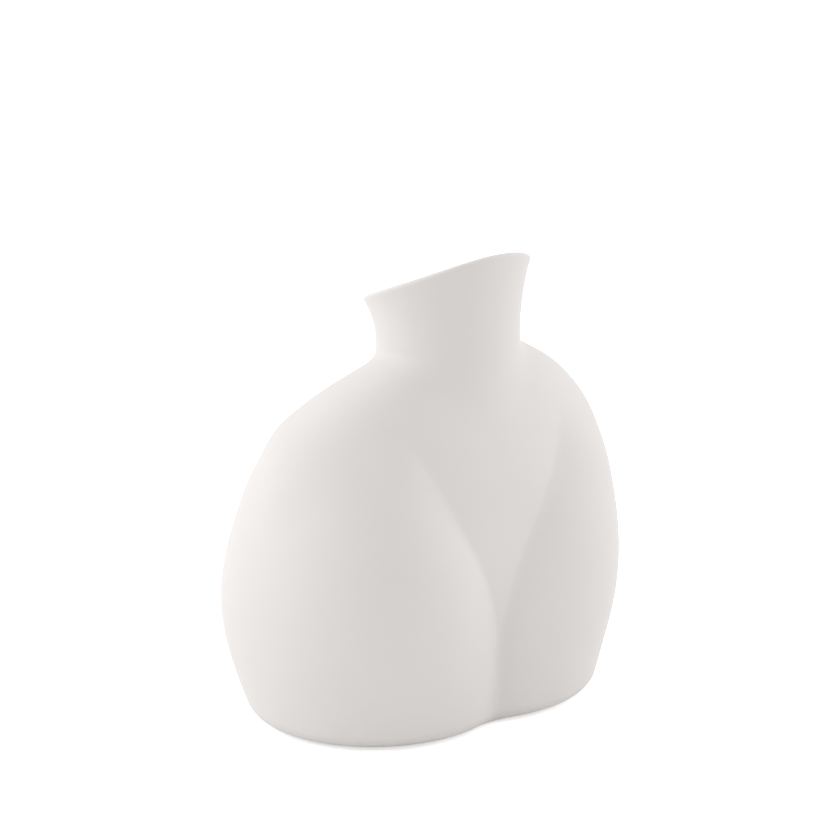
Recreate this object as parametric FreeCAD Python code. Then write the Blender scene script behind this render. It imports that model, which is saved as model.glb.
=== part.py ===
import FreeCAD, Part
import math
import os

# The pillow vase stands on its base with +Z up, and the vee of its chest faces -Y.
# The origin is on the table, under the middle of the vase's width and depth.
# All sizes are in millimetres. Depths and radii are measured from the neck's upright axis.

# Body
shoulder_height = 250.0
lobe_half_width = 138.0
lobe_front_depth = 68.5
lobe_rear_depth = 119.5
chest_half_width = 125.0
chest_front_depth = 55.0
chest_rear_depth = 88.0
foot_radius = 10.1
wall = 4.5
floor = 6.0
parting_depth = 24.0

# Vee between the lobes
vee_tip_height = 59.0
vee_top_height = 166.0
vee_half_width = 46.7
crease_radius = 3.0
inner_crease_radius = 12.0
rear_valley_radius = 34.0
shoulder_blend = 13.3
lobe_blend = 8.0

# Neck
neck_half_width = 47.9
neck_front_depth = 43.9
neck_rear_depth = 41.1
neck_corner_radius = 4.0
neck_joint_drop = 2.0
neck_length = 37.0
flare_rise = 50.0
flare_side = 7.2
flare_front = 5.6
rim_rise = 21.0
rim_arch = 3.0
neck_joint_height = shoulder_height - neck_joint_drop
rim_height = neck_joint_height + neck_length

# Pads
pad_radius = 6.0
pad_thickness = 1.5
pad_side_inset = 60.0
pad_front_inset = 40.0
pad_rear_inset = 35.0

# One overrun serves all cuts.
overrun = 10.0

# Each row pairs a share of the shoulder height with a share of the size it is named after.
lobe_width_shares = ((0, 0.876), (0.088, 0.913), (0.224, 0.982), (0.352, 1),
                     (0.512, 0.962), (0.664, 0.901), (0.8, 0.856), (0.92, 0.815))
lobe_front_shares = ((0, 0.83), (0.12, 0.902), (0.28, 1), (0.44, 0.961),
                     (0.6, 0.817), (0.74, 0.682), (0.92, 0.498))
lobe_rear_shares = ((0, 0.844), (0.12, 0.943), (0.28, 1), (0.44, 0.915),
                    (0.6, 0.76), (0.74, 0.635), (0.92, 0.486))
chest_front_shares = ((0, 0.881), (0.224, 0.95), (0.48, 1), (0.68, 0.997),
                      (0.8, 0.868), (0.88, 0.725), (0.944, 0.639), (1, 0.572))
chest_width_shares = ((0, 0.731), (0.24, 0.895), (0.48, 1), (0.68, 1),
                      (0.8, 0.886), (0.88, 0.679), (0.944, 0.472), (1, 0.296))
chest_rear_shares = ((0, 0.856), (0.24, 0.941), (0.48, 1), (0.68, 0.963),
                     (0.8, 0.825), (0.88, 0.613), (0.944, 0.404), (1, 0.227))
vee_shares = ((0, 0), (0.495, 0.494), (1, 1), (1.318, 1.286), (1.598, 1.157))
fade_start_share = 0.6
fade_end_share = 0.816
least_lobe_share = 0.3
vee_limit_share = 0.9
reach_soft_share = 0.03
exit_soft_share = 0.002

# The sections lean forward and up, from none at the chest to all of the slope at the neck.
lean_slope_share = 0.1
lean_start_share = 0.6
lean_end_share = 0.9

# Section points crowd towards the front, where the creases are.
outer_count = 72
inner_count = 48
crowding_share = 0.45
foot_row_count = 3
lip_row_count = 4
collar_row_count = 5

# Heights of the sections, as shares of the neck joint's height.
wall_level_shares = (foot_radius / neck_joint_height, 0.12, 0.2, 0.29, 0.38, 0.47, 0.55, 0.62, 0.68, 0.73,
                     0.775, 0.81, 0.835, 0.86, 0.885, 0.905, 0.925, 0.94, 0.955, 0.97, 0.985, 1)
hollow_level_shares = (0.06, 0.14, 0.26, 0.38, 0.49, 0.59, 0.68, 0.755, 0.82, 0.87, 0.91, 0.95, 1, 1.03)
slope_step = 9.0
slope_low_share = 0.25
steepest_share = 1.6


def smooth_curve(points, x):
    """Value at x of a smooth curve through (x, y) points, held level past both ends."""
    xs = [p[0] for p in points]
    ys = [p[1] for p in points]
    x = min(max(x, xs[0]), xs[-1])
    runs = [b - a for a, b in zip(xs, xs[1:])]
    rates = [(b - a) / run for a, b, run in zip(ys, ys[1:], runs)]
    slopes = [(rates[i] * runs[i + 1] + rates[i + 1] * runs[i]) / (runs[i] + runs[i + 1])
              for i in range(len(runs) - 1)]
    slopes = [2 * rates[0] - slopes[0]] + slopes + [2 * rates[-1] - slopes[-1]]
    i = 0
    while i < len(runs) - 1 and x > xs[i + 1]:
        i += 1
    t = (x - xs[i]) / runs[i]
    rise = ys[i + 1] - ys[i]
    start = slopes[i] * runs[i]
    end = slopes[i + 1] * runs[i]
    return ys[i] + t * (start + t * (3 * rise - 2 * start - end + t * (start + end - 2 * rise)))


def profile(shares, size):
    """Heights and sizes of one table."""
    return [(share * shoulder_height, part * size) for share, part in shares]


lobe_widths = profile(lobe_width_shares, lobe_half_width)
lobe_fronts = profile(lobe_front_shares, lobe_front_depth)
lobe_rears = profile(lobe_rear_shares, lobe_rear_depth)
chest_fronts = profile(chest_front_shares, chest_front_depth)
chest_widths = profile(chest_width_shares, chest_half_width)
chest_rears = profile(chest_rear_shares, chest_rear_depth)
vee_rise = vee_top_height - vee_tip_height
vee_widths = [(vee_tip_height + share * vee_rise, part * vee_half_width) for share, part in vee_shares]


def step_up(share):
    """A soft step from 0 to 1 as the share goes from 0 to 1."""
    share = min(max(share, 0), 1)
    return share * share * (3 - 2 * share)


def soft_limit(value, softness):
    """The value where it is positive and zero below, with a soft turn."""
    return (value + math.sqrt(value ** 2 + softness)) / 2


def ellipse_exit(middle_x, middle_y, half_x, half_y, angle):
    """Distance from the axis to the far side of an ellipse, drawn on softly past the last ray that meets it."""
    ray_x = math.cos(angle) / half_x
    ray_y = math.sin(angle) / half_y
    off_x = middle_x / half_x
    off_y = middle_y / half_y
    size = math.hypot(ray_x, ray_y)
    along = (ray_x * off_x + ray_y * off_y) / size
    inside = soft_limit(1 - off_x ** 2 - off_y ** 2 + along ** 2, exit_soft_share)
    return (along + math.sqrt(inside)) / size


def blend(a, b, radius):
    """The larger of two distances, with the corner between them rounded."""
    near = max(radius - abs(a - b), 0) / radius
    return max(a, b) + near ** 2 * radius / 4


def foot_inset(z):
    """How far the rounding at the foot draws the section in."""
    drop = min(max(foot_radius - z, 0), foot_radius)
    return foot_radius - math.sqrt(foot_radius ** 2 - drop ** 2)


def neck_oval(angle, z):
    """Distance from the axis to the outside of the neck, which flares above its joint."""
    flare = (max(z - neck_joint_height, 0) / flare_rise) ** 2
    side = neck_half_width + flare_side * flare
    front = neck_front_depth + flare_front * flare
    rear = neck_rear_depth + flare_front * flare
    return ellipse_exit(0, (rear - front) / 2, side, (rear + front) / 2, angle)


def outer_radius(angle, z, crease=crease_radius):
    """Distance from the axis to the outside of the vase, for the section at one level."""
    inset = foot_inset(z)
    width = smooth_curve(lobe_widths, z) - inset
    front = smooth_curve(lobe_fronts, z) - inset
    rear = smooth_curve(lobe_rears, z) - inset
    chest_x = smooth_curve(chest_widths, z) - inset
    chest_front = smooth_curve(chest_fronts, z) - inset
    chest_rear = smooth_curve(chest_rears, z) - inset
    chest_y = (chest_front + chest_rear) / 2
    chest_middle = (chest_rear - chest_front) / 2

    # The lobe passes through the crease point, which lies on the chest at the vee's half width.
    vee = min(smooth_curve(vee_widths, z), vee_limit_share * chest_x)
    crease_y = chest_middle - chest_y * math.sqrt(1 - (vee / chest_x) ** 2)
    lobe_y = (front + rear) / 2
    lobe_middle = (rear - front) / 2
    reach = math.sqrt(soft_limit(1 - ((lobe_middle - crease_y) / lobe_y) ** 2, reach_soft_share))
    lobe_x = blend((width - vee) / (1 + reach), least_lobe_share * width, lobe_blend)

    right = ellipse_exit(width - lobe_x, lobe_middle, lobe_x, lobe_y, angle)
    left = ellipse_exit(lobe_x - width, lobe_middle, lobe_x, lobe_y, angle)
    chest = ellipse_exit(0, chest_middle, chest_x, chest_y, angle)
    rise = min(z / shoulder_height, 1) ** 3
    behind = (1 + math.sin(angle)) / 2
    lobes = blend(right, left, crease + (rear_valley_radius - crease) * behind ** 2)
    both = blend(lobes, chest, crease + (shoulder_blend - crease) * rise)

    # The lobes fade into the shoulder's oval, and the neck stands on it with a small corner.
    fade = step_up((z / shoulder_height - fade_start_share) / (fade_end_share - fade_start_share))
    body = chest + (1 - fade) * (both - chest)
    return blend(body, neck_oval(angle, z), max(crease, neck_corner_radius))


def inner_radius(angle, z):
    """Distance from the axis to the inside of the wall."""
    radius = outer_radius(angle, z, inner_crease_radius)
    turn = slope_step / radius
    across = (outer_radius(angle + turn, z) - outer_radius(angle - turn, z)) / (2 * slope_step)
    low = max(z - slope_step, slope_low_share * foot_radius)
    up = (outer_radius(angle, z + slope_step) - outer_radius(angle, low)) / (z + slope_step - low)
    return radius - wall * min(math.sqrt(1 + across ** 2 + up ** 2), steepest_share)


def rim_level(angle):
    """Height of the rim, high over the vee and low at the rear."""
    return rim_height - rim_rise * math.sin(angle) - rim_arch * math.cos(2 * angle)


def section_angles(count):
    """Angles once round from the rear, closer together at the front."""
    turns = [2 * math.pi * i / count for i in range(count)]
    return [math.pi / 2 + turn + crowding_share * math.sin(turn) for turn in turns]


outer_angles = section_angles(outer_count)
inner_angles = section_angles(inner_count)
centre_shift = (lobe_rear_depth - lobe_front_depth) / 2


def point_at(radius, angle, z):
    """A point of the vase in the part's own frame, standing on its pads."""
    return FreeCAD.Vector(radius * math.cos(angle), radius * math.sin(angle) - centre_shift, z + pad_thickness)


def lean(radius, angle, level):
    """How far a section's point is raised: the front goes up, the rear down."""
    start = lean_start_share * shoulder_height
    share = step_up((level - start) / (lean_end_share * shoulder_height - start))
    return -lean_slope_share * share * radius(angle, min(level, neck_joint_height)) * math.sin(angle)


def place(radius, angle, level):
    """The point of a section, with the radius given as one of the two radius functions."""
    return point_at(radius(angle, level), angle, level + lean(radius, angle, level))


def make_ring(points):
    """A smooth closed wire through points, with the same even steps in every ring."""
    steps = [i / len(points) for i in range(len(points) + 1)]
    curve = Part.BSplineCurve()
    curve.interpolate(Points=points, PeriodicFlag=True, Parameters=steps)
    return Part.Wire([curve.toShape()])


def foot_levels():
    """Heights evenly spaced round the foot's quarter circle."""
    turns = [math.pi / 2 * i / foot_row_count for i in range(foot_row_count)]
    return [foot_radius * (1 - math.cos(turn)) for turn in turns]


def make_envelope():
    """The outside of the body as one solid, from the table to the neck's joint."""
    levels = foot_levels() + [share * neck_joint_height for share in wall_level_shares]
    rings = [make_ring([place(outer_radius, a, level) for a in outer_angles]) for level in levels]
    return Part.makeLoft(rings, True, True)


def make_hollow():
    """The space inside the walls as one solid, from the floor to above the neck's joint."""
    levels = [floor] + [share * neck_joint_height for share in hollow_level_shares]
    rings = [make_ring([place(inner_radius, a, level) for a in inner_angles]) for level in levels]
    return Part.makeLoft(rings, True, True)


def make_block(front, rear, low, high):
    """A block wider than the vase, between two depths and two heights."""
    half = lobe_half_width + overrun
    corner = FreeCAD.Vector(-half, front - centre_shift, low + pad_thickness)
    return Part.makeBox(2 * half, rear - front, high - low, corner)


def make_shells(envelope):
    """The two pressed halves of the body, which meet where the body is widest."""
    walls = envelope.cut(make_hollow())
    top = shoulder_height + overrun
    front = walls.common(make_block(-lobe_front_depth - overrun, parting_depth, floor, top))
    rear = walls.common(make_block(parting_depth, lobe_rear_depth + overrun, floor, top))
    return front, rear


def make_base(envelope):
    """The floor slab that both halves stand on, with the rounding of the foot."""
    block = make_block(-lobe_front_depth - overrun, lobe_rear_depth + overrun, -overrun, floor)
    return envelope.common(block)


def lip_level(radius, angle):
    """Level of the section that reaches the lip's middle at this angle."""
    return rim_level(angle) - wall / 2 - lean(radius, angle, shoulder_height)


def lip_ring(turn):
    """One ring over the rounded lip, from the outside at 0 to the inside at a half turn."""
    points = []
    for a in inner_angles:
        outside = outer_radius(a, lip_level(outer_radius, a))
        inside = inner_radius(a, lip_level(inner_radius, a))
        middle = (outside + inside) / 2
        height = rim_level(a) - wall / 2 + wall / 2 * math.sin(turn)
        points.append(point_at(middle + (outside - inside) / 2 * math.cos(turn), a, height))
    return make_ring(points)


def collar_ring(share, radius):
    """One ring of the neck's outside or inside, at a share of the way from the joint to the lip."""
    points = []
    for a in inner_angles:
        level = neck_joint_height + share * (lip_level(radius, a) - neck_joint_height)
        points.append(place(radius, a, level))
    return make_ring(points)


def make_collar():
    """The flared neck, one band from the outer edge of the joint over the lip to its inner edge."""
    shares = [i / collar_row_count for i in range(collar_row_count)]
    rings = [collar_ring(share, outer_radius) for share in shares]
    rings += [lip_ring(math.pi * i / lip_row_count) for i in range(lip_row_count + 1)]
    rings += [collar_ring(share, inner_radius) for share in reversed(shares)]
    band = Part.makeLoft(rings, False, True)
    seat = Part.makeFace([rings[0], rings[-1]], "Part::FaceMakerBullseye")
    shell = Part.Shell(band.Faces + [seat])
    shell.sewShape()
    return Part.Solid(shell)


def make_pad(x, y):
    """One stick-on pad under the base."""
    return Part.makeCylinder(pad_radius, pad_thickness, FreeCAD.Vector(x, y - centre_shift, 0))


def make_pads():
    side = lobe_widths[0][1] - pad_side_inset
    front = pad_front_inset - lobe_fronts[0][1]
    rear = lobe_rears[0][1] - pad_rear_inset
    return {
        "pad_front_left": make_pad(-side, front),
        "pad_front_right": make_pad(side, front),
        "pad_rear_left": make_pad(-side, rear),
        "pad_rear_right": make_pad(side, rear),
    }


def build():
    envelope = make_envelope()
    front, rear = make_shells(envelope)
    nodes = {
        "front_shell": front,
        "rear_shell": rear,
        "base_slab": make_base(envelope),
        "neck_collar": make_collar(),
    }
    nodes.update(make_pads())
    os.makedirs("parts", exist_ok=True)
    for name, shape in nodes.items():
        box = shape.BoundBox
        print(name, shape.ShapeType, "solids", len(shape.Solids), "valid", shape.isValid(),
              "volume cm3", round(shape.Volume / 1000, 1),
              "x %.1f..%.1f y %.1f..%.1f z %.1f..%.1f"
              % (box.XMin, box.XMax, box.YMin, box.YMax, box.ZMin, box.ZMax))
        shape.exportStep("parts/" + name + ".step")


build()
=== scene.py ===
# %% [markdown]
# # Pillow vase
# A free-standing vase in matt, warm white fired clay. Two plump lobes stand left and right, a
# shallow chest narrows to a point between them, and the lobes and the chest melt into one pair
# of shoulders under a short neck with a slanted rim. This file dresses the CAD model of it.
# Every length in Blender is in metres, and the vase stands on z = 0 with its V facing -Y.

# %% Load the frame
import math
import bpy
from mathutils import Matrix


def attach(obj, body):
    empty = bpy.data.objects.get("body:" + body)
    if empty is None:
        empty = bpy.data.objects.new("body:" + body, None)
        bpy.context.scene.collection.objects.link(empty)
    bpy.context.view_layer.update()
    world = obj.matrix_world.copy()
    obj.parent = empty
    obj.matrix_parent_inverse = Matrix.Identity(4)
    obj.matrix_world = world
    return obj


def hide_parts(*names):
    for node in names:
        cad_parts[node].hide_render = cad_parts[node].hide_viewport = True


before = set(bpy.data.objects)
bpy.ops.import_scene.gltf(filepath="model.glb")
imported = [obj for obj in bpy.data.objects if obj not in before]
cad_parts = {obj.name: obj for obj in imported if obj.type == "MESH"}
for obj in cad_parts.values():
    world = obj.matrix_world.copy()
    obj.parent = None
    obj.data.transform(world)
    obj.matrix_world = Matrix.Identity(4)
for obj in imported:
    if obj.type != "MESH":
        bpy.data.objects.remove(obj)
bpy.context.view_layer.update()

from types import SimpleNamespace

import bpy
from mathutils import Matrix, Vector

mm = 0.001
print("nodes", sorted(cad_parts))

# %% [markdown]
# ## The sizes
# The body isn't turned on a wheel: each of its halves is pressed into a mould. Its form is still
# one rule, the same as in the CAD model: at every height a smooth union of two ellipses, the
# lobes, and an oval, the chest. The sizes of the body become named inputs of the node trees
# below, so one changed number changes the form everywhere. Each row of a table pairs a share of
# the shoulder height with a share of the size that the table is named after.

# %% Sizes of the body, in millimetres: widths from the neck's axis, heights from the foot
size = SimpleNamespace(
    shoulder_height=250.0,
    lobe_half_width=137.7,
    lobe_front_depth=68.4,
    lobe_rear_depth=119.3,
    chest_half_width=125.0,
    chest_front_depth=55.0,
    chest_rear_depth=88.0,
    foot_radius=10.1,
    vee_tip_height=59.0,
    vee_top_height=166.0,
    vee_half_width=46.7,
    rear_valley_radius=34.0,
    shoulder_blend=13.3,
    lobe_blend=8.0,
    neck_half_width=47.9,
    neck_front_depth=43.9,
    neck_rear_depth=41.1,
    neck_corner_radius=8.0,
    neck_joint_height=248.0,
    flare_side=8.0,
    flare_front=7.0,
    rim_height=286.9,
    rim_rise=21.0,
    rim_arch=1.0,
)
wall = 4.5
floor_thickness = 6.0
crease_radius = 1.0
inner_crease_radius = 7.0
pad_thickness = 1.5
centre_shift = (size.lobe_rear_depth - size.lobe_front_depth) / 2
print("sizes of the body", len(vars(size)))

# %% How each size changes over the height, and the V's width from its tip to its top
lobe_width_shares = ((0, 0.874), (0.088, 0.924), (0.224, 0.982), (0.352, 1),
                     (0.512, 0.969), (0.664, 0.912), (0.8, 0.858), (0.92, 0.815))
lobe_front_shares = ((0, 0.825), (0.12, 0.908), (0.28, 1), (0.44, 0.961),
                     (0.6, 0.817), (0.74, 0.682), (0.92, 0.498))
lobe_rear_shares = ((0, 0.844), (0.12, 0.943), (0.28, 1), (0.44, 0.915),
                    (0.6, 0.76), (0.74, 0.635), (0.92, 0.486))
chest_front_shares = ((0, 0.881), (0.224, 0.95), (0.48, 1), (0.68, 0.997),
                      (0.8, 0.868), (0.88, 0.725), (0.944, 0.63), (1, 0.52))
chest_width_shares = ((0, 0.731), (0.24, 0.895), (0.48, 1), (0.68, 1),
                      (0.8, 0.88), (0.88, 0.69), (0.944, 0.452), (1, 0.235))
chest_rear_shares = ((0, 0.856), (0.24, 0.941), (0.48, 1), (0.68, 0.963),
                     (0.8, 0.86), (0.88, 0.65), (0.944, 0.404), (1, 0.227))
vee_shares = ((0, 0), (0.25, 0.14), (0.5, 0.38), (0.75, 0.7), (1, 1), (1.318, 1.32),
              (1.598, 1.22))
print("the V goes past its top by", round(vee_shares[-1][0] - 1, 3), "of its height")

# %% Shares that shape the turns from one form to the next
fade_start_share = 0.6  # of the shoulder height: the lobes start to fade into the shoulder
fade_end_share = 0.816
least_lobe_share = 0.3  # of the width: no lobe is narrower
vee_limit_share = 0.9  # of the chest's half width: the creases stay on its front
reach_soft_share = 0.03  # how soft the turn is where a number under a root goes below zero
exit_soft_share = 0.002
print("the lobes fade from", fade_start_share * size.shoulder_height, "to",
      fade_end_share * size.shoulder_height, "mm")

# %% [markdown]
# ## Nodes that are written as formulas
# The form could be sculpted, but both lobes are to be alike, and the shape follows a rule. So
# Geometry Nodes make it. A formula is easier to read than hundreds of boxes and wires. That is
# why the class below stands for a number that a tree works out: each sign in a formula with it
# adds one Math node to the tree, and a plain number is typed into that node.

# %% Adding a node
def add_node(tree, kind, settings=None, links=None):
    """Adds one node. Settings that name an input set its value, all others set the node."""
    node = tree.nodes.new(kind)
    for name, value in (settings or {}).items():
        if hasattr(node, name):
            setattr(node, name, value)
        else:
            node.inputs[name].default_value = value
    for name, source in (links or {}).items():
        tree.links.new(source, node.inputs[name])
    return node


# %% A number that a tree works out
class Field:
    """An output of a node, which can be used in a formula like a plain number."""

    def __init__(self, tree, socket):
        self.tree = tree
        self.socket = socket

    def made(self, operation, *parts):
        """One Math node, whose inputs are fields or plain numbers."""
        node = add_node(self.tree, "ShaderNodeMath", {"operation": operation})
        for place, part in enumerate(parts):
            plug_in(self.tree, node.inputs[place], part)
        return Field(self.tree, node.outputs[0])

    def __add__(self, other):
        return self.made("ADD", self, other)

    def __sub__(self, other):
        return self.made("SUBTRACT", self, other)

    def __rsub__(self, other):
        return self.made("SUBTRACT", other, self)

    def __mul__(self, other):
        return self.made("MULTIPLY", self, other)

    def __rmul__(self, other):
        return self.made("MULTIPLY", other, self)

    def __truediv__(self, other):
        return self.made("DIVIDE", self, other)

    def __rtruediv__(self, other):
        return self.made("DIVIDE", other, self)


def plug_in(tree, plug, part):
    """Sets an input to a plain number, or links a field to it."""
    if isinstance(part, Field):
        tree.links.new(part.socket, plug)
    else:
        plug.default_value = part


# %% Roots, angles and limits
def root(a):
    return a.made("SQRT", a)


def sine(a):
    return a.made("SINE", a)


def cosine(a):
    return a.made("COSINE", a)


def larger(a, b):
    return a.made("MAXIMUM", a, b)


def smaller(a, b):
    return a.made("MINIMUM", a, b)


def share_of(value, low, high, way="LINEAR"):
    """0 where a value is at its low end, 1 where it is at its high end, and held past both."""
    node = add_node(value.tree, "ShaderNodeMapRange", {"interpolation_type": way})
    for name, part in (("Value", value), ("From Min", low), ("From Max", high)):
        plug_in(value.tree, node.inputs[name], part)
    return Field(value.tree, node.outputs["Result"])


def soft_limit(value, softness):
    """The value where it is positive and zero below, with a soft turn."""
    return (value + root(value * value + softness)) / 2


def blend(a, b, radius):
    """The larger of two distances, with the corner between them rounded."""
    apart = a.made("ABSOLUTE", a - b)
    near = larger(radius - apart, 0) / radius
    return larger(a, b) + near * near * radius / 4


# %% A smooth curve through a table
def smooth_curve(rows, place):
    """The share that a table gives at a place: one soft piece of curve for each two rows."""
    xs = [x for x, share in rows]
    ys = [share for x, share in rows]
    runs = [b - a for a, b in zip(xs, xs[1:])]
    rates = [(b - a) / run for a, b, run in zip(ys, ys[1:], runs)]
    slopes = [(a * after + b * before) / (before + after)
              for a, b, before, after in zip(rates, rates[1:], runs, runs[1:])]
    slopes = [2 * rates[0] - slopes[0]] + slopes + [2 * rates[-1] - slopes[-1]]
    total = ys[0]
    for i, run in enumerate(runs):
        t = share_of(place, xs[i], xs[i + 1])
        rise = ys[i + 1] - ys[i]
        start = slopes[i] * run
        end = slopes[i + 1] * run
        cubed = start + end - 2 * rise
        squared = 3 * rise - 2 * start - end
        total = t * (t * (t * cubed + squared) + start) + total
    return total


# %% A new tree with named inputs
def label(name):
    """The name that a size has as an input: lobe_half_width becomes Lobe Half Width."""
    return name.replace("_", " ").title()


def new_tree(name, inputs, result, kind="NodeSocketFloat"):
    """An empty tree, its inputs as fields, and a function that sets its result."""
    tree = bpy.data.node_groups.new(name, "GeometryNodeTree")
    for text in inputs:
        tree.interface.new_socket(text, in_out="INPUT", socket_type="NodeSocketFloat")
    tree.interface.new_socket(result, in_out="OUTPUT", socket_type=kind)
    start = add_node(tree, "NodeGroupInput")
    end = add_node(tree, "NodeGroupOutput")
    fields = [Field(tree, socket) for socket in start.outputs[:len(inputs)]]
    return tree, fields, lambda socket: tree.links.new(socket, end.inputs[0])


def new_sized_tree(name, inputs, result, kind="NodeSocketFloat"):
    """The same for a tree that also has the sizes of the body as inputs, after its own.

    Gives the tree, its own inputs and the sizes as fields, and a function that sets its result.
    """
    labels = list(inputs) + [label(key) for key in vars(size)]
    tree, fields, give = new_tree(name, labels, result, kind)
    passed = SimpleNamespace(**dict(zip(vars(size), fields[len(inputs):])))
    return tree, fields[:len(inputs)], passed, give


def call_tree(inner, passed, *parts):
    """Uses a tree inside another one, like a function, and passes the sizes on."""
    outer = parts[0].tree
    node = add_node(outer, "GeometryNodeGroup", {"node_tree": inner})
    for plug, part in zip(node.inputs, parts + tuple(vars(passed).values())):
        plug_in(outer, plug, part)
    return Field(outer, node.outputs[0])


# %% [markdown]
# ## The rule of the body
# One tree answers one question: how far from the neck's axis is the outside, at this angle and
# height? The rule is the one that the CAD model follows, so both have the same form. Where the
# photograph is finer than the solids, this file is too: the creases are sharper here, the V is
# slimmer half-way up, the rim flares out all round, and the rear is fuller. In these functions,
# s holds the sizes as fields, and ways holds the cosine and the sine of the angle.

# %% The neck and the rim
def rim_level(s, angle):
    """Height of the rim, high over the V and low at the rear."""
    return s.rim_height - s.rim_rise * sine(angle) - s.rim_arch * cosine(2 * angle)


def ellipse_exit(middle_x, middle_y, half_x, half_y, ways):
    """Distance to the far side of an ellipse, drawn on softly past the last ray that meets it."""
    ray_x = ways[0] / half_x
    ray_y = ways[1] / half_y
    off_x = middle_x / half_x
    off_y = middle_y / half_y
    length = root(ray_x * ray_x + ray_y * ray_y)
    along = (ray_x * off_x + ray_y * off_y) / length
    inside = soft_limit(along * along - off_x * off_x - off_y * off_y + 1, exit_soft_share)
    return (along + root(inside)) / length


def neck_oval(s, angle, ways, z):
    """Distance from the axis to the outside of the neck, which flares towards the rim."""
    rise = larger(z - s.neck_joint_height, 0) / (rim_level(s, angle) - s.neck_joint_height)
    flare = rise * rise
    side = flare * s.flare_side + s.neck_half_width
    front = flare * s.flare_front + s.neck_front_depth
    rear = flare * s.flare_front + s.neck_rear_depth
    return ellipse_exit(0, (rear - front) / 2, side, (rear + front) / 2, ways)


# %% The outside of the vase
def outside_tree():
    """A tree that works out the distance from the axis to the outside."""
    tree, (angle, z, crease), s, give = new_sized_tree(
        "outside", ("Angle", "Height", "Crease"), "Radius")
    ways = cosine(angle), sine(angle)
    up = z / s.shoulder_height
    drop = smaller(larger(s.foot_radius - z, 0), s.foot_radius)
    inset = s.foot_radius - root(s.foot_radius * s.foot_radius - drop * drop)
    width = smooth_curve(lobe_width_shares, up) * s.lobe_half_width - inset
    front = smooth_curve(lobe_front_shares, up) * s.lobe_front_depth - inset
    rear = smooth_curve(lobe_rear_shares, up) * s.lobe_rear_depth - inset
    chest_x = smooth_curve(chest_width_shares, up) * s.chest_half_width - inset
    chest_front = smooth_curve(chest_front_shares, up) * s.chest_front_depth - inset
    chest_rear = smooth_curve(chest_rear_shares, up) * s.chest_rear_depth - inset
    chest_y = (chest_front + chest_rear) / 2
    chest_middle = (chest_rear - chest_front) / 2

    # The lobe passes through the crease point, which lies on the chest at the V's half width.
    vee_up = (z - s.vee_tip_height) / (s.vee_top_height - s.vee_tip_height)
    vee = smaller(smooth_curve(vee_shares, vee_up) * s.vee_half_width, chest_x * vee_limit_share)
    vee_part = vee / chest_x
    crease_y = chest_middle - chest_y * root(1 - vee_part * vee_part)
    lobe_y = (front + rear) / 2
    lobe_middle = (rear - front) / 2
    depth_part = (lobe_middle - crease_y) / lobe_y
    reach = root(soft_limit(1 - depth_part * depth_part, reach_soft_share))
    lobe_x = blend((width - vee) / (reach + 1), width * least_lobe_share, s.lobe_blend)

    right = ellipse_exit(width - lobe_x, lobe_middle, lobe_x, lobe_y, ways)
    left = ellipse_exit(lobe_x - width, lobe_middle, lobe_x, lobe_y, ways)
    chest = ellipse_exit(0, chest_middle, chest_x, chest_y, ways)
    behind = (ways[1] + 1) / 2
    valley = crease + (s.rear_valley_radius - crease) * behind * behind
    rise = share_of(up, 0, 1)
    melt = crease + (s.shoulder_blend - crease) * rise * rise
    both = blend(blend(right, left, valley), chest, melt)

    # The lobes fade into the shoulder's oval, and the neck stands on it with a small corner.
    fade = share_of(up, fade_start_share, fade_end_share, "SMOOTHSTEP")
    form = both + fade * (chest - both)
    give(blend(form, neck_oval(s, angle, ways, z), larger(crease, s.neck_corner_radius)).socket)
    return tree


outside = outside_tree()
print("nodes in the tree of the outside", len(outside.nodes))


# %% [markdown]
# ## The inside of the wall
# A pressed wall is equally thick when it is measured square to its surface. Where the outside
# slopes, the inside lies further in along a level line. So a second tree asks the first one how
# far out the neighbours of a place are, left and right, above and below, and works out the slope
# from them. A crease of the outside is a ridge inside, and is rounder there, because a hand
# smooths it.

# %% The tree of the inside
slope_step = 9.0  # millimetres between a place and each of its neighbours
slope_low_share = 0.25  # of the foot's radius: no neighbour is lower
steepest_share = 1.6  # of the wall: the inside is never further in than this


def inside_tree():
    """A tree that works out the distance from the axis to the inside of the wall."""
    tree, (angle, z, crease, wall_size), s, give = new_sized_tree(
        "inside", ("Angle", "Height", "Crease", "Wall"), "Radius")
    radius = call_tree(outside, s, angle, z, crease)
    turn = slope_step / radius
    across = (call_tree(outside, s, angle + turn, z, crease)
              - call_tree(outside, s, angle - turn, z, crease)) / (2 * slope_step)
    low = larger(z - slope_step, slope_low_share * s.foot_radius)
    high = z + slope_step
    up = (call_tree(outside, s, angle, high, crease)
          - call_tree(outside, s, angle, low, crease)) / (high - low)
    slope = smaller(root(across * across + up * up + 1), steepest_share)
    give((radius - wall_size * slope).socket)
    return tree


inside = inside_tree()
print("nodes in the tree of the inside", len(inside.nodes))


# %% [markdown]
# ## Materials
# Fired white clay under a matt glaze scatters light inside its skin, so it looks soft and
# chalky, with a weak, wide sheen. One function turns a colour as seen on screen into the linear
# numbers that Blender works with, and one starts an empty material.

# %% Helpers for colours and materials
def linear(hex_text):
    """A colour written as sRGB hex, as linear RGBA."""
    parts = [int(hex_text[i:i + 2], 16) / 255 for i in (1, 3, 5)]
    return [p / 12.92 if p <= 0.04045 else ((p + 0.055) / 1.055) ** 2.4 for p in parts] + [1.0]


def new_material(name):
    """An empty material with its output node."""
    material = bpy.data.materials.new(name)
    material.use_nodes = True
    material.node_tree.nodes.clear()
    return material, material.node_tree, add_node(material.node_tree, "ShaderNodeOutputMaterial")


print("a screen's middle grey throws back", round(linear("#808080")[0], 3), "of the light")

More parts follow.
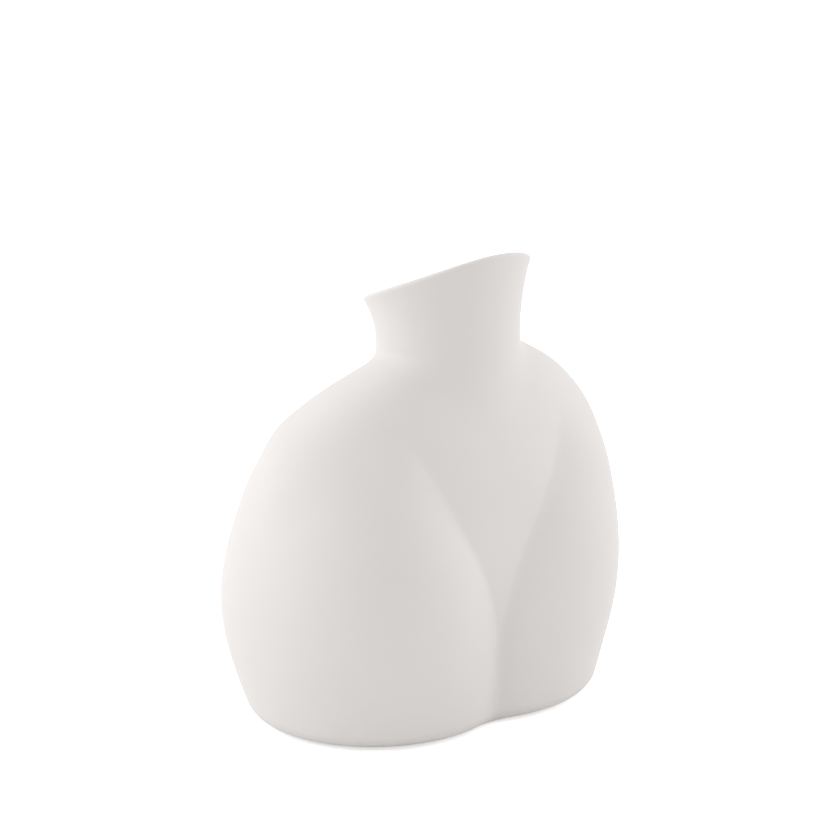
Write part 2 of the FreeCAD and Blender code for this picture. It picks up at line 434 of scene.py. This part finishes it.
# %% [markdown]
# ### Glazed and bare stoneware
# The real surface is sprayed with a matt glaze. Its colour drifts a little where the coat is
# thicker, its grain is as fine as sand, and the wall itself keeps the slow unevenness of a
# pressed and sponged form. Each of the three is one noise of its own size. The same function
# makes the satin glaze inside, which is smoother, and the bare clay of the foot, which is rough
# and a little darker.

# %% The sizes of the unevenness
grain_size = 0.6 * mm  # the real one is finer: this one is as coarse as it needs to show
sponge_size = 7 * mm
sponge_height = 0.12 * mm
drift_size = 60 * mm
roughness_spread = 0.06
bump_strength = 0.5
print("grain", grain_size / mm, "sponge marks", sponge_size / mm, "drift", drift_size / mm, "mm")


# %% One function for the three finishes
def clay_material(name, pale, dark, roughness, grain_height):
    """Fired clay or matt glaze, with a drifting colour, a sandy grain and a sponged wall."""
    material, tree, output = new_material(name)
    where = add_node(tree, "ShaderNodeTexCoord").outputs["Object"]
    drift = add_node(tree, "ShaderNodeTexNoise", {"Scale": 1 / drift_size, "Detail": 3.0},
                     {"Vector": where})
    colour = add_node(tree, "ShaderNodeMix", {"data_type": "RGBA"})
    colour.inputs[6].default_value = linear(dark)
    colour.inputs[7].default_value = linear(pale)
    tree.links.new(drift.outputs["Fac"], colour.inputs[0])
    grain = add_node(tree, "ShaderNodeTexNoise", {"Scale": 1 / grain_size, "Detail": 2.0},
                     {"Vector": where})
    sponge = add_node(tree, "ShaderNodeTexNoise", {"Scale": 1 / sponge_size, "Detail": 2.0},
                      {"Vector": where})
    rough = add_node(tree, "ShaderNodeMapRange", {"To Min": roughness - roughness_spread,
                                                  "To Max": roughness + roughness_spread},
                     {"Value": sponge.outputs["Fac"]})
    coarse = add_node(tree, "ShaderNodeBump",
                      {"Strength": bump_strength, "Distance": sponge_height},
                      {"Height": sponge.outputs["Fac"]})
    fine = add_node(tree, "ShaderNodeBump",
                    {"Strength": bump_strength, "Distance": grain_height},
                    {"Height": grain.outputs["Fac"], "Normal": coarse.outputs["Normal"]})
    surface = add_node(tree, "ShaderNodeBsdfPrincipled", {"IOR": 1.5},
                       {"Base Color": colour.outputs[2], "Roughness": rough.outputs["Result"],
                        "Normal": fine.outputs["Normal"]})
    tree.links.new(surface.outputs["BSDF"], output.inputs["Surface"])
    return material


matt_glaze = clay_material("matt_white_glaze", "#E6E2E0", "#E2DEDB", 0.72, 0.05 * mm)
inner_glaze = clay_material("satin_glaze_inside", "#E8E4E1", "#E4DFDB", 0.42, 0.02 * mm)
bare_clay = clay_material("bare_fired_clay", "#DAD3C7", "#CFC7BA", 0.9, 0.08 * mm)
print("materials", [m.name for m in (matt_glaze, inner_glaze, bare_clay)])


# %% [markdown]
# ## The body
# One skin runs from the middle of the underside round the foot, up the wall, over the lip and
# down the inside to the middle of the floor. The real vase is joined from halves, but the seams
# are sponged flush before firing, so nothing may show where they were. The skin starts as a tall
# closed cylinder. Its rows are moved to their places on the vase: the lowest become the foot, the
# next ones the wall, the neck and the lip, and the top ones the hollow. The lower end cap becomes
# the underside, and the upper one the inner floor.

# %% How many rows each part of the skin has
columns = 360
cap_rows = 10
foot_rows = 12
wall_rows = 116
neck_rows = 18
lip_rows = 10
hollow_rows = 61
bare_rows = 2  # of the foot, which are wiped bare
lip_start = foot_rows + wall_rows + neck_rows
lip_end = lip_start + lip_rows
row_count = lip_end + neck_rows + hollow_rows
print("skin of", row_count, "rows and", columns, "columns")

# %% How the sections lean
lean_slope_share = 0.1  # millimetres up or down for each millimetre from the axis
lean_start_share = 0.75  # of the shoulder height
lean_end_share = 0.9


def lean(s, radius, angle, level):
    """How far the points of a section are raised: the front goes up, the rear down."""
    slope = share_of(level / s.shoulder_height, lean_start_share, lean_end_share,
                     "SMOOTHSTEP") * -lean_slope_share
    return slope * radius(smaller(level, s.neck_joint_height)) * sine(angle)


# %% The level of each row
def outer_level_of(s, row, top):
    """Round the foot, up the wall and up the neck, to the level where the lip starts."""
    round_foot = 1 - cosine(share_of(row, 0, foot_rows) * (math.pi / 2))
    up_wall = share_of(row, foot_rows, foot_rows + wall_rows)
    up_neck = share_of(row, foot_rows + wall_rows, lip_start)
    return (round_foot * s.foot_radius + up_wall * (s.neck_joint_height - s.foot_radius)
            + up_neck * (top - s.neck_joint_height))


def inner_level_of(s, row, top, bottom):
    """From the level where the lip ends, down the neck and down the wall to the floor's edge."""
    down_neck = share_of(row, lip_end, lip_end + neck_rows)
    down_wall = share_of(row, lip_end + neck_rows, row_count)
    return (top - down_neck * (top - s.neck_joint_height)
            - down_wall * (s.neck_joint_height - bottom))


# %% The finish of each row
def dressed(tree, skin, row):
    """The skin with its finishes. The first one takes all rows, the others take some over."""
    for finish, part in ((matt_glaze, row.made("LESS_THAN", row, row_count + 1)),
                         (bare_clay, row.made("LESS_THAN", row, bare_rows)),
                         (inner_glaze, row.made("GREATER_THAN", row, lip_end))):
        skin = add_node(tree, "GeometryNodeSetMaterial", {"Material": finish},
                        {"Geometry": skin, "Selection": part.socket}).outputs[0]
    return skin


# %% The tree that makes the vase
crowding_share = 0.35  # how much closer the columns stand at the V, and further apart behind
cove_height = 4.0  # millimetres that the floor's edge runs up the wall
cove_start_share = 0.9  # of the way from the floor's middle to its edge


def vase_tree():
    """A tree that moves the rows of a cylinder to their places on the vase."""
    tree, (wall_size, floor_size, fine, broad, lift), s, give = new_sized_tree(
        "vase_body", ("Wall", "Floor", "Crease", "Inner Crease", "Pad Thickness"), "Geometry",
        "NodeSocketGeometry")
    tube = add_node(tree, "GeometryNodeMeshCylinder", {
        "fill_type": "TRIANGLE_FAN", "Vertices": columns, "Side Segments": row_count,
        "Fill Segments": cap_rows, "Radius": 1.0, "Depth": 1.0})
    spot = add_node(tree, "ShaderNodeSeparateXYZ", {},
                    {"Vector": add_node(tree, "GeometryNodeInputPosition").outputs[0]})
    x, y, z = (Field(tree, socket) for socket in spot.outputs)
    row = (z + 0.5) * row_count
    step = x.made("ARCTAN2", y, x)
    angle = sine(step) * crowding_share + step + math.pi / 2
    short = 1 - root(x * x + y * y)
    reach = 1 - short * short

    def outer(level):
        return call_tree(outside, s, angle, level, fine)

    def inner(level):
        return call_tree(inside, s, angle, level, broad, wall_size)

    def lip_level(radius):
        """Level of the section that reaches the lip's middle at this angle."""
        return rim_level(s, angle) - wall_size / 2 - lean(s, radius, angle, s.shoulder_height)

    # The lip is half a turn, from the outside to the inside.
    outer_level = outer_level_of(s, row, lip_level(outer))
    inner_level = inner_level_of(s, row, lip_level(inner), floor_size + cove_height)
    turn = share_of(row, lip_start, lip_end) * math.pi
    within = (1 - cosine(turn)) / 2

    # Where the point goes. The floor runs up into the wall in a soft cove.
    outer_reach = outer(outer_level)
    radius = (outer_reach + (inner(inner_level) - outer_reach) * within) * reach
    outer_height = outer_level + lean(s, outer, angle, outer_level)
    inner_height = inner_level + lean(s, inner, angle, inner_level)
    climb = share_of(reach, cove_start_share, 1.0)
    height = (outer_height + (inner_height - outer_height) * within
              + sine(turn) * wall_size / 2 - within * (1 - climb * climb) * cove_height)
    place = add_node(tree, "ShaderNodeCombineXYZ")
    plug_in(tree, place.inputs["X"], radius * cosine(angle) * mm)
    middle = (s.lobe_rear_depth - s.lobe_front_depth) / 2
    plug_in(tree, place.inputs["Y"], (radius * sine(angle) - middle) * mm)
    plug_in(tree, place.inputs["Z"], (height + lift) * mm)

    # Each point keeps the number of its row when it moves, for the finishes.
    kept = add_node(tree, "GeometryNodeCaptureAttribute", {}, {"Geometry": tube.outputs["Mesh"]})
    kept.capture_items.new("FLOAT", "Row")
    tree.links.new(row.socket, kept.inputs["Row"])
    moved = add_node(tree, "GeometryNodeSetPosition", {},
                     {"Geometry": kept.outputs["Geometry"], "Position": place.outputs[0]})
    smooth = add_node(tree, "GeometryNodeSetShadeSmooth", {}, {"Geometry": moved.outputs[0]})
    solid = add_node(tree, "GeometryNodeRealizeInstances", {}, {"Geometry": smooth.outputs[0]})
    give(dressed(tree, solid.outputs[0], Field(tree, kept.outputs["Row"])))
    return tree


# %% Growing a mesh from a tree
def grown(name, tree, values):
    """A plain mesh object made by a node tree with these input values."""
    holder = bpy.data.objects.new(name + "_seed", bpy.data.meshes.new(name + "_seed"))
    bpy.context.collection.objects.link(holder)
    modifier = holder.modifiers.new("nodes", "NODES")
    modifier.node_group = tree
    sockets = {item.name: item.identifier for item in tree.interface.items_tree
               if item.in_out == "INPUT"}
    for key, value in values.items():
        modifier[sockets[key]] = value
    graph = bpy.context.evaluated_depsgraph_get()
    mesh = bpy.data.meshes.new_from_object(holder.evaluated_get(graph))
    bpy.data.objects.remove(holder)
    piece = bpy.data.objects.new(name, mesh)
    bpy.context.collection.objects.link(piece)
    return piece


# %% Growing the body
body = grown("vase_body", vase_tree(), {
    "Wall": wall, "Floor": floor_thickness, "Crease": crease_radius,
    "Inner Crease": inner_crease_radius, "Pad Thickness": pad_thickness,
    **{label(key): value for key, value in vars(size).items()}})
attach(body, "root")
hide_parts("front_shell", "rear_shell", "base_slab", "neck_collar")
print("body", len(body.data.polygons), "faces,", [round(side / mm, 1) for side in body.dimensions],
      "mm")

# %% [markdown]
# ## The pads
# Four soft dots keep the bare foot from scratching the table. They could be four cylinders, but
# one disc that is repeated on the corners of a grid stays alike and in line when a size changes.

# %% The pads' rubber
rubber_grain_size = 0.3 * mm
rubber_grain_height = 0.03 * mm


def rubber_material():
    """Moulded silicone rubber: grey, soft to the light, with a fine moulded texture."""
    material, tree, output = new_material("silicone_rubber")
    where = add_node(tree, "ShaderNodeTexCoord").outputs["Object"]
    texture = add_node(tree, "ShaderNodeTexNoise", {"Scale": 1 / rubber_grain_size},
                       {"Vector": where})
    bump = add_node(tree, "ShaderNodeBump", {"Strength": 0.3, "Distance": rubber_grain_height},
                    {"Height": texture.outputs["Fac"]})
    surface = add_node(tree, "ShaderNodeBsdfPrincipled",
                       {"Base Color": linear("#9E9B97"), "Roughness": 0.6, "IOR": 1.43},
                       {"Normal": bump.outputs["Normal"]})
    tree.links.new(surface.outputs["BSDF"], output.inputs["Surface"])
    return material


rubber = rubber_material()
print("material", rubber.name)


# %% The tree that makes the pads
def pad_tree():
    """A tree that puts one disc on each corner of a grid."""
    tree, (radius, thickness, width, depth, middle), give = new_tree(
        "pads", ("Radius", "Thickness", "Width", "Depth", "Middle"), "Geometry",
        "NodeSocketGeometry")
    grid = add_node(tree, "GeometryNodeMeshGrid", {"Vertices X": 2, "Vertices Y": 2},
                    {"Size X": width.socket, "Size Y": depth.socket})
    shift = add_node(tree, "ShaderNodeCombineXYZ", {},
                     {"Y": middle.socket, "Z": (thickness / 2).socket})
    moved = add_node(tree, "GeometryNodeSetPosition", {},
                     {"Geometry": grid.outputs["Mesh"], "Offset": shift.outputs[0]})
    disc = add_node(tree, "GeometryNodeMeshCylinder", {"Vertices": 48, "Side Segments": 2,
                                                       "Fill Segments": 2},
                    {"Radius": radius.socket, "Depth": thickness.socket})
    spread = add_node(tree, "GeometryNodeInstanceOnPoints", {},
                      {"Points": moved.outputs[0], "Instance": disc.outputs["Mesh"]})
    solid = add_node(tree, "GeometryNodeRealizeInstances", {}, {"Geometry": spread.outputs[0]})
    finished = add_node(tree, "GeometryNodeSetMaterial", {"Material": rubber},
                        {"Geometry": solid.outputs[0]})
    give(finished.outputs[0])
    return tree


# %% Making the pads, each set in from the edge of the foot
pad_radius = 6.0
pad_side_inset = 60.0
pad_front_inset = 40.0
pad_rear_inset = 35.0
pad_side = lobe_width_shares[0][1] * size.lobe_half_width - pad_side_inset
pad_front = pad_front_inset - lobe_front_shares[0][1] * size.lobe_front_depth
pad_rear = lobe_rear_shares[0][1] * size.lobe_rear_depth - pad_rear_inset
pads = grown("pads", pad_tree(), {
    "Radius": pad_radius * mm, "Thickness": pad_thickness * mm, "Width": 2 * pad_side * mm,
    "Depth": (pad_rear - pad_front) * mm,
    "Middle": ((pad_front + pad_rear) / 2 - centre_shift) * mm})
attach(pads, "root")
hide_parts("pad_front_left", "pad_front_right", "pad_rear_left", "pad_rear_right")
print("pads", len(pads.data.polygons), "faces")

# %% [markdown]
# ## The studio
# The photograph has no background at all, only white. The floor is a plain white sheet that
# takes the vase's soft shadow. More light would make it whiter, but would burn out the vase too.
# So the floor and the world are brighter for the camera, and in reflections, than they are as
# light on the vase.

# %% Rays that see the white
def seen_rays(tree):
    """A socket that is 1 for rays from the camera, and for those mirrored or let through."""
    light = add_node(tree, "ShaderNodeLightPath").outputs
    first = add_node(tree, "ShaderNodeMath", {"operation": "MAXIMUM"})
    tree.links.new(light["Is Camera Ray"], first.inputs[0])
    tree.links.new(light["Is Glossy Ray"], first.inputs[1])
    either = add_node(tree, "ShaderNodeMath", {"operation": "MAXIMUM"})
    tree.links.new(first.outputs[0], either.inputs[0])
    tree.links.new(light["Is Transmission Ray"], either.inputs[1])
    return either.outputs[0]


# %% The floor's finish
floor_glow = 0.6  # what the camera sees on top of the light that the sheet throws back


def white_sheet():
    """A matt white floor that the camera sees as pure white, apart from the shadow."""
    material, tree, output = new_material("white_studio_sheet")
    seen = seen_rays(tree)
    paper = add_node(tree, "ShaderNodeBsdfDiffuse", {"Color": linear("#F4F4F4")})
    glow = add_node(tree, "ShaderNodeEmission",
                    {"Color": linear("#FFFFFF"), "Strength": floor_glow})
    bright = add_node(tree, "ShaderNodeAddShader")
    tree.links.new(paper.outputs[0], bright.inputs[0])
    tree.links.new(glow.outputs[0], bright.inputs[1])
    either = add_node(tree, "ShaderNodeMixShader", {}, {"Fac": seen})
    tree.links.new(paper.outputs[0], either.inputs[1])
    tree.links.new(bright.outputs[0], either.inputs[2])
    tree.links.new(either.outputs[0], output.inputs["Surface"])
    return material


# %% A flat sheet, for the floor and for a card
def flat_sheet(name, half, material):
    """A level square that reaches this far to each side of the origin."""
    mesh = bpy.data.meshes.new(name)
    mesh.from_pydata([(-half, -half, 0), (half, -half, 0), (half, half, 0), (-half, half, 0)], [],
                     [(0, 1, 2, 3)])
    mesh.materials.append(material)
    sheet = bpy.data.objects.new(name, mesh)
    bpy.context.collection.objects.link(sheet)
    return sheet


floor_half = 3000 * mm
floor = flat_sheet("floor", floor_half, white_sheet())
print("floor", [round(side, 2) for side in floor.dimensions], "m")

# %% The world, which lights evenly and looks white
world = bpy.data.worlds.new("studio")
bpy.context.scene.world = world
world.use_nodes = True
world.node_tree.nodes.clear()
ambient_level = 0.9
level = add_node(world.node_tree, "ShaderNodeMapRange",
                 {"To Min": ambient_level, "To Max": 1.0}, {"Value": seen_rays(world.node_tree)})
sky = add_node(world.node_tree, "ShaderNodeBackground", {"Color": linear("#FFFFFF")},
               {"Strength": level.outputs["Result"]})
add_node(world.node_tree, "ShaderNodeOutputWorld", {}, {"Surface": sky.outputs[0]})
print("the world lights with", ambient_level, "of white")

# %% [markdown]
# ## Camera and lamps
# The photograph looks at the vase from its front left and a little above, from far away, so
# the lines hardly converge. A long lens gives that. Two soft boxes light it from the sides, and
# what faces the camera is a little darker, as in a studio where the wall behind the camera is
# grey. A card stands for that wall, and the camera never sees it.

# %% The camera
camera_azimuth = math.radians(39.92)
camera_elevation = math.radians(16.12)
camera_distance = 2600 * mm
lens_length = 176.7  # millimetres
aimed_height = 140.4  # on the body, in millimetres above its pads
aimed_left = 20.6  # millimetres, so that the vase stands right of the middle
aimed_up = 53.1  # millimetres, so that it stands below the middle
to_camera = Vector((-math.sin(camera_azimuth) * math.cos(camera_elevation),
                    -math.cos(camera_azimuth) * math.cos(camera_elevation),
                    math.sin(camera_elevation)))
right = Vector((0, 0, 1)).cross(to_camera).normalized()
up = to_camera.cross(right)
aim = (Vector((0, -centre_shift, aimed_height + pad_thickness)) * mm
       - right * aimed_left * mm + up * aimed_up * mm)
camera_data = bpy.data.cameras.new("camera")
camera_data.sensor_width = 36
camera_data.lens = lens_length
camera_data.clip_end = 20
camera = bpy.data.objects.new("camera", camera_data)
turned = Matrix((right, up, to_camera)).transposed().to_4x4()
turned.translation = aim + to_camera * camera_distance
camera.matrix_world = turned
bpy.context.collection.objects.link(camera)
bpy.context.scene.camera = camera
print("camera at", [round(v, 3) for v in turned.translation])


# %% The lamps
lit_point = Vector((0, 0, 0.15))
lamp_height = Vector((0, 0, 0.9))


def soft_box(name, place, side, power):
    """A square area lamp that faces the vase. Its place and its side are in metres."""
    data = bpy.data.lights.new(name, "AREA")
    data.shape = "SQUARE"
    data.size = side
    data.energy = power
    lamp = bpy.data.objects.new(name, data)
    lamp.location = place
    lamp.rotation_euler = (lit_point - place).to_track_quat("-Z", "Y").to_euler()
    bpy.context.collection.objects.link(lamp)
    print(name, "at", [round(v, 2) for v in place], "with", power, "W")


soft_box("left_box", right * -1.6 + to_camera * 0.1 + lamp_height, 1.2, 9.2)
soft_box("right_box", right * 1.5 - to_camera * 0.6 + lamp_height, 1.0, 5.0)

# %% The dark side of the studio
card_half = 900 * mm
card_behind = 150 * mm  # further back than the camera


def card_paint():
    """A plain matt grey."""
    material, tree, output = new_material("grey_card")
    paint = add_node(tree, "ShaderNodeBsdfDiffuse", {"Color": linear("#9C9C9C")})
    tree.links.new(paint.outputs[0], output.inputs["Surface"])
    return material


card = flat_sheet("dark_card", card_half, card_paint())
behind = turned.copy()
behind.translation = aim + to_camera * (camera_distance + card_behind)
card.matrix_world = behind
card.visible_camera = False
print("card", [round(side, 2) for side in card.dimensions], "m")

# %% Colours as they are written
bpy.context.scene.view_settings.view_transform = "Standard"
print("view transform", bpy.context.scene.view_settings.view_transform)
